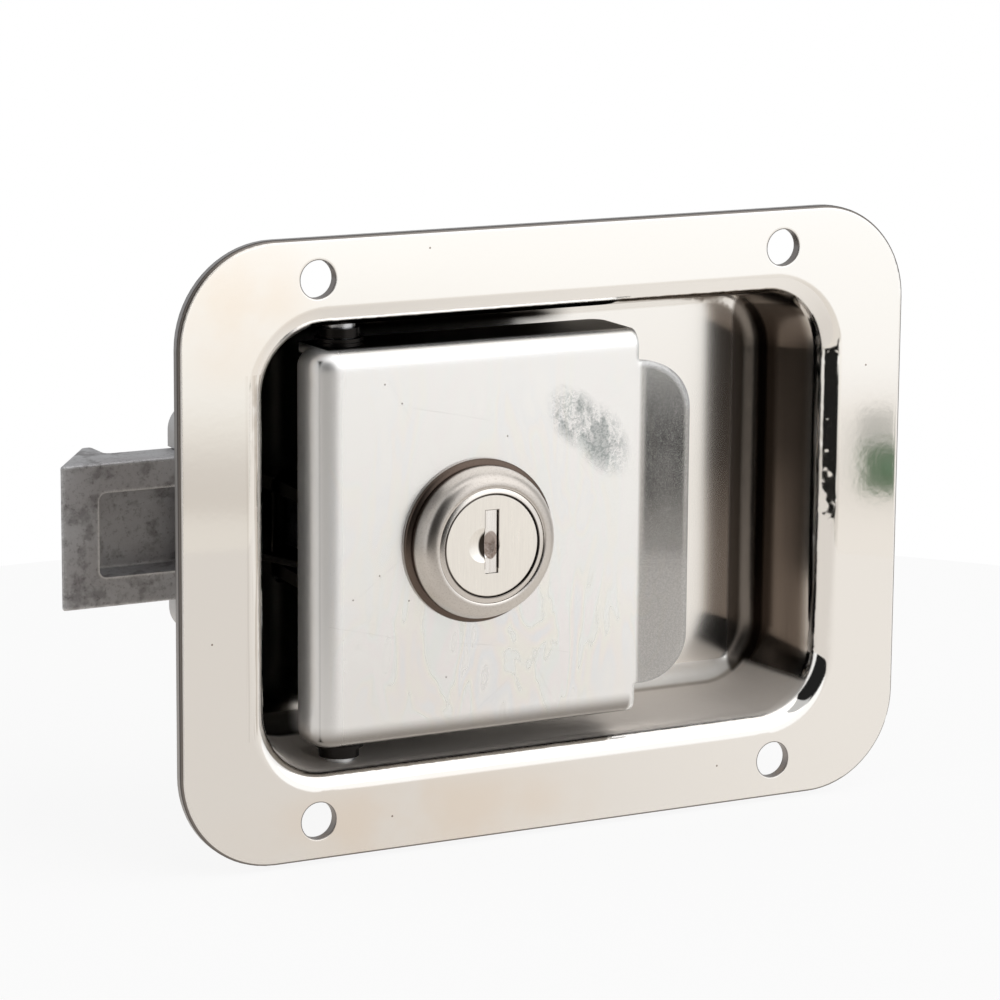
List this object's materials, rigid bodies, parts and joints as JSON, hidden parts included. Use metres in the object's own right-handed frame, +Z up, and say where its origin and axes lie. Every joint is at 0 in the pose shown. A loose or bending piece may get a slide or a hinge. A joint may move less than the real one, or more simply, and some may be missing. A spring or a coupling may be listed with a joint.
{
  "type": "paddle latch",
  "caption": "Flush recessed paddle latch: a hinged pull paddle with a key lock in a pressed pan draws back a sprung, ramped slam bolt.",
  "frame": {"origin": "centre of the four-screw pattern on the back face of the flange", "axes": "+X along the flange away from the bolt, +Y into the door, +Z up"},
  "size_m": [0.1297, 0.0444, 0.0924],
  "materials": {
    "polished_stainless": "polished stainless sheet",
    "satin_stainless": "satin stainless sheet",
    "zinc_plated_steel": "bright zinc-plated steel",
    "raw_zinc_casting": "bare die-cast zinc, dull grey",
    "pale_zinc_casting": "tumbled die-cast zinc",
    "spring_steel": "drawn spring steel",
    "satin_nickel": "satin nickel plate",
    "brass_wafer": "stamped brass"
  },
  "bodies": {
    "frame": {"dish": "polished_stainless", "hinge_pin": "zinc_plated_steel", "pin_retainer": "spring_steel", "hinge_washers": "zinc_plated_steel", "hinge_spacers": "zinc_plated_steel", "paddle_spring": "spring_steel", "bolt_housing": "pale_zinc_casting", "housing_rivets": "zinc_plated_steel", "housing_cover": "zinc_plated_steel", "cover_screws": "zinc_plated_steel", "bolt_spring": "spring_steel", "spring_guide": "zinc_plated_steel", "lock_keeper": "zinc_plated_steel"},
    "paddle": {"paddle": "satin_stainless", "paddle_crank": "zinc_plated_steel", "drive_pin": "zinc_plated_steel", "lock_barrel": "satin_nickel", "lock_bezel": "satin_nickel", "lock_washer": "zinc_plated_steel", "lock_nut": "zinc_plated_steel"},
    "lock_core": {"lock_plug": "satin_nickel", "wafers": "brass_wafer", "wafer_springs": "spring_steel", "shutter_spring": "spring_steel", "stop_washer": "zinc_plated_steel", "lock_cam": "zinc_plated_steel", "cam_screw": "zinc_plated_steel"},
    "shutter": {"key_shutter": "satin_nickel"},
    "bolt": {"latch_bolt": "raw_zinc_casting"}
  },
  "joints": [
    {"name": "paddle_hinge", "type": "hinge", "parent": "frame", "child": "paddle", "pos_m": [-0.033, 0.0043, 0], "axis": [0, 0, -1], "range_deg": [0, 31], "stiffness_Nm_per_rad": 0.12, "springref_deg": -34.38, "deforming": ["paddle_spring"]},
    {"name": "bolt_slide", "type": "slide", "parent": "frame", "child": "bolt", "axis": [1, 0, 0], "range_m": [0, 0.0121], "deforming": ["bolt_spring"]},
    {"name": "lock_turn", "type": "hinge", "parent": "paddle", "child": "lock_core", "pos_m": [-0.0138, 0, 0], "axis": [0, 1, 0], "range_deg": [0, 90]},
    {"name": "shutter_hinge", "type": "hinge", "parent": "lock_core", "child": "shutter", "pos_m": [-0.01301, -0.0071, 0.0006], "axis": [0, 0, -1], "range_deg": [0, 75], "stiffness_Nm_per_rad": 0.0004, "springref_deg": -28.65, "deforming": ["shutter_spring"]}
  ],
  "couplings": [
    {"joint": "bolt_slide", "follows": "paddle_hinge", "m_per_rad": 0.022362}
  ]
}
